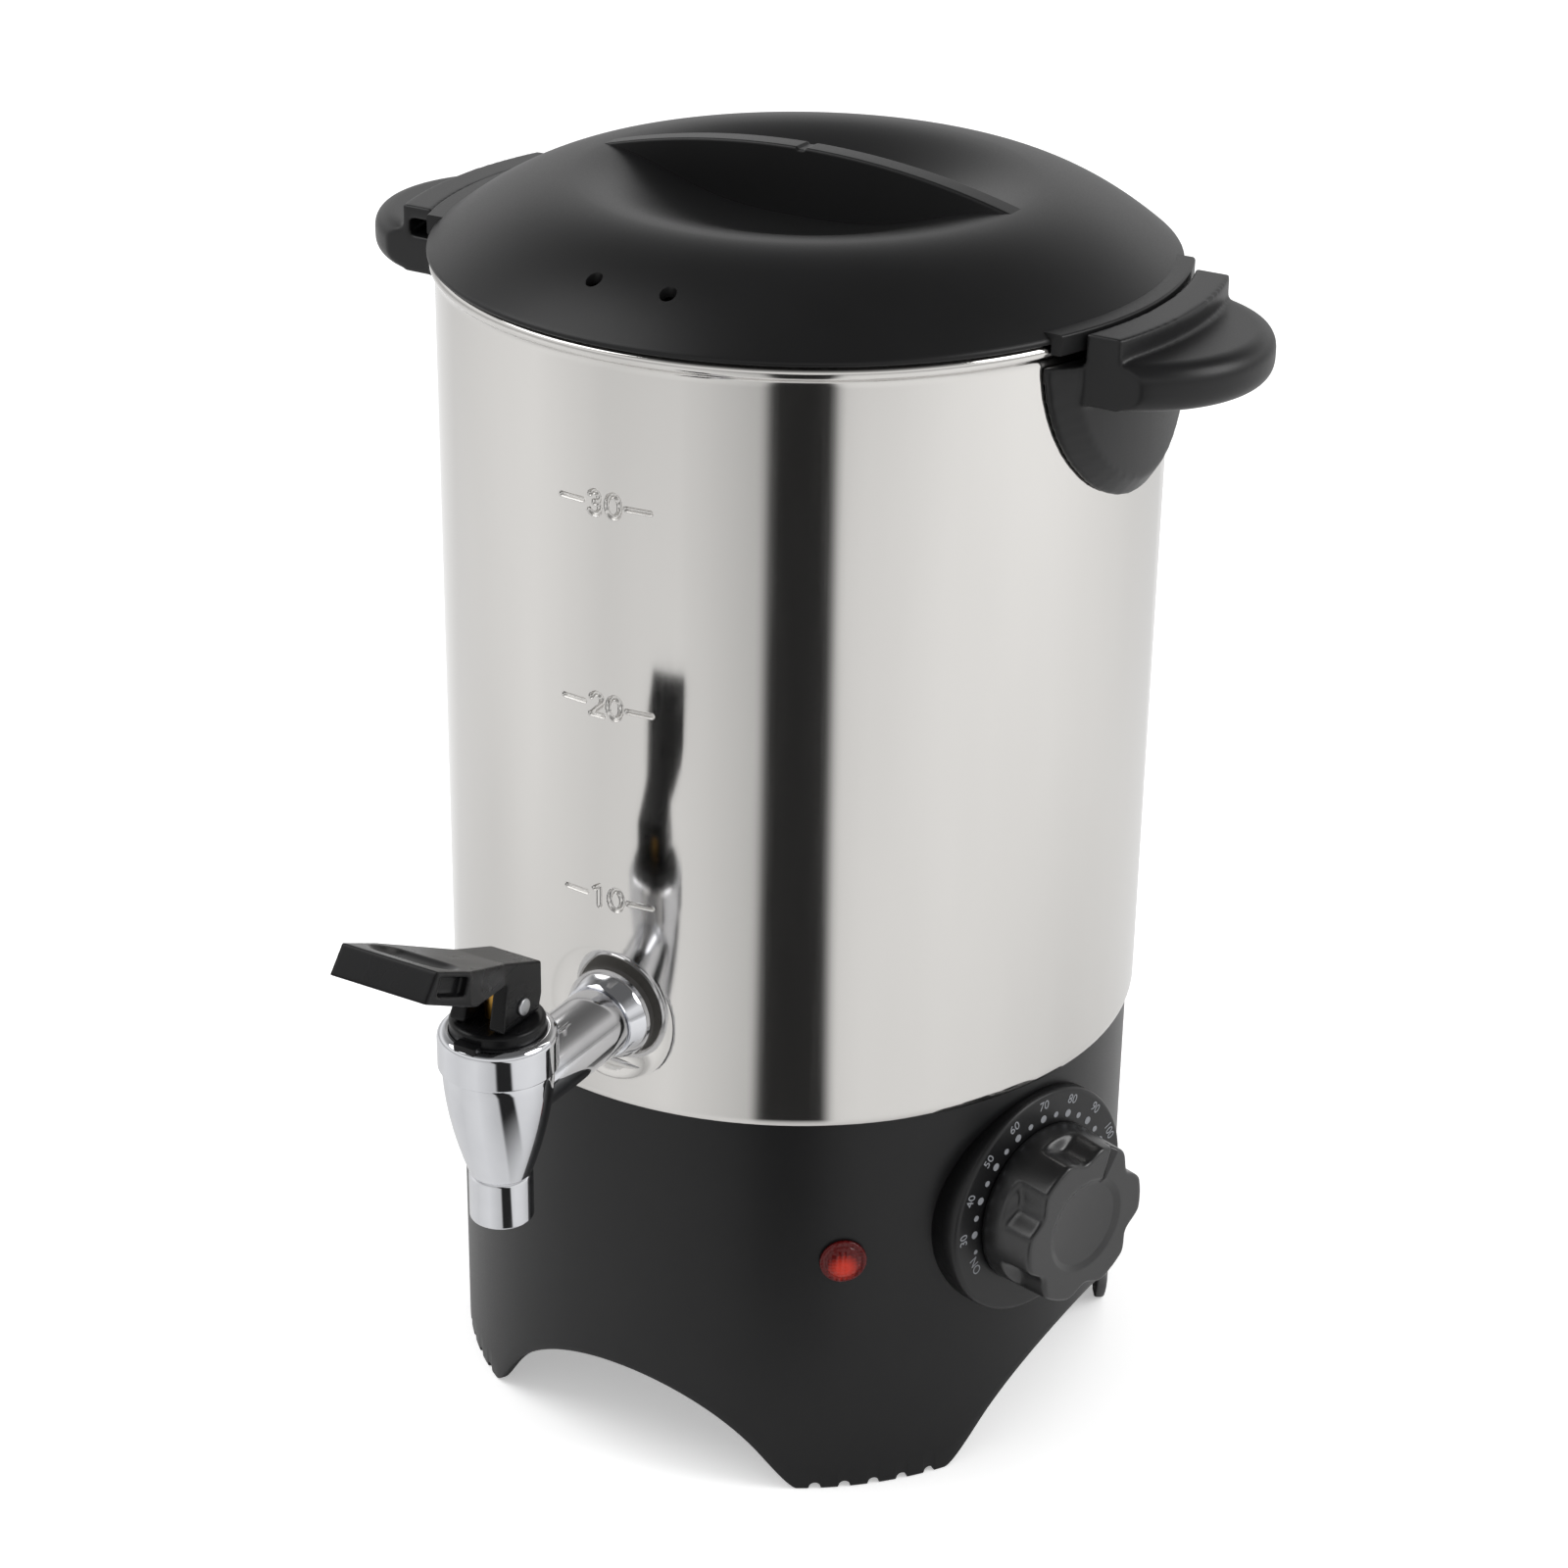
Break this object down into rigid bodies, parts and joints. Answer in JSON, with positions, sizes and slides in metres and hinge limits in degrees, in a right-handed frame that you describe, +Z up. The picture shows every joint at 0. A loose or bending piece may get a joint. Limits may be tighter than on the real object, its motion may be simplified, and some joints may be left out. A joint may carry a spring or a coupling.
{
  "type": "coffee urn",
  "caption": "Round steel drinks urn on a black arched base with a thermostat dial, a push-lever tap, side handles and a lid that turns and lifts off.",
  "frame": {"origin": "on the tank's axis at the level the feet stand on", "axes": "+Z up along the tank's axis, the tap points to -Y, the handles lie along X"},
  "size_m": [0.27, 0.3034, 0.3653],
  "materials": {
    "polished_steel": "polished stainless sheet",
    "satin_black_plastic": "satin black moulding",
    "gloss_black_plastic": "glossy black moulding",
    "plain_black_plastic": "plain dull black",
    "chrome": "bright chrome plate",
    "zinc_steel": "bright zinc or plain steel",
    "cast_aluminium": "plain cast aluminium",
    "element_steel": "dull grey element sheath",
    "ceramic": "cream ceramic or resin",
    "copper": "plain copper",
    "brass": "plain turned brass",
    "red_lens": "translucent red",
    "black_rubber": "black rubber",
    "white_silicone": "white silicone"
  },
  "bodies": {
    "urn": {"tank": "polished_steel", "base_shell": "satin_black_plastic", "bottom_cover": "plain_black_plastic", "base_screws": "zinc_steel", "heater_plate": "cast_aluminium", "heating_element": "element_steel", "thermal_cutout": "ceramic", "tie_rods": "zinc_steel", "tie_nuts": "zinc_steel", "terminal_block": "ceramic", "thermostat": "ceramic", "thermostat_bulb": "copper", "thermostat_nut": "zinc_steel", "dial_bezel": "satin_black_plastic", "lamp_lens": "red_lens", "lamp_holder": "plain_black_plastic", "power_inlet": "plain_black_plastic", "inlet_pins": "brass", "inlet_screws": "zinc_steel", "tap_body": "chrome", "tap_flange": "chrome", "outer_gasket": "black_rubber", "inner_gasket": "white_silicone", "tap_nut": "zinc_steel", "tap_bonnet": "gloss_black_plastic", "tap_spring": "zinc_steel", "handle_right": "satin_black_plastic", "handle_left": "satin_black_plastic", "handle_screws": "zinc_steel", "handle_washers": "white_silicone"},
    "lid_ring": {"lid_seal": "white_silicone"},
    "lid": {"lid_shell": "satin_black_plastic"},
    "dial_knob": {"knob": "satin_black_plastic", "thermostat_shaft": "zinc_steel"},
    "valve": {"tap_stem": "brass", "valve_cup": "white_silicone"},
    "tap_lever": {"lever": "gloss_black_plastic", "lever_pin": "zinc_steel"}
  },
  "joints": [
    {"name": "lid_lift", "type": "slide", "parent": "urn", "child": "lid_ring", "axis": [0, 0, 1], "range_m": [0, 0.15]},
    {"name": "lid_turn", "type": "hinge", "parent": "lid_ring", "child": "lid", "pos_m": [0, 0, 0.337], "axis": [0, 0, 1], "range_deg": [0, 45]},
    {"name": "knob_turn", "type": "hinge", "parent": "urn", "child": "dial_knob", "pos_m": [0, 0, 0.0825], "axis": [0.9613, -0.2756, 0], "range_deg": [-59, 135]},
    {"name": "stem_lift", "type": "slide", "parent": "urn", "child": "valve", "axis": [0, 0, 1], "range_m": [0, 0.00305], "stiffness_N_per_m": 100, "springref_m": -0.01, "deforming": ["tap_spring"]},
    {"name": "lever_tilt", "type": "hinge", "parent": "valve", "child": "tap_lever", "pos_m": [0, -0.1516, 0.1765], "axis": [1, 0, 0], "range_deg": [0, 25]}
  ],
  "couplings": [
    {"joint": "lever_tilt", "follows": "stem_lift", "rad_per_m": 142.86}
  ]
}
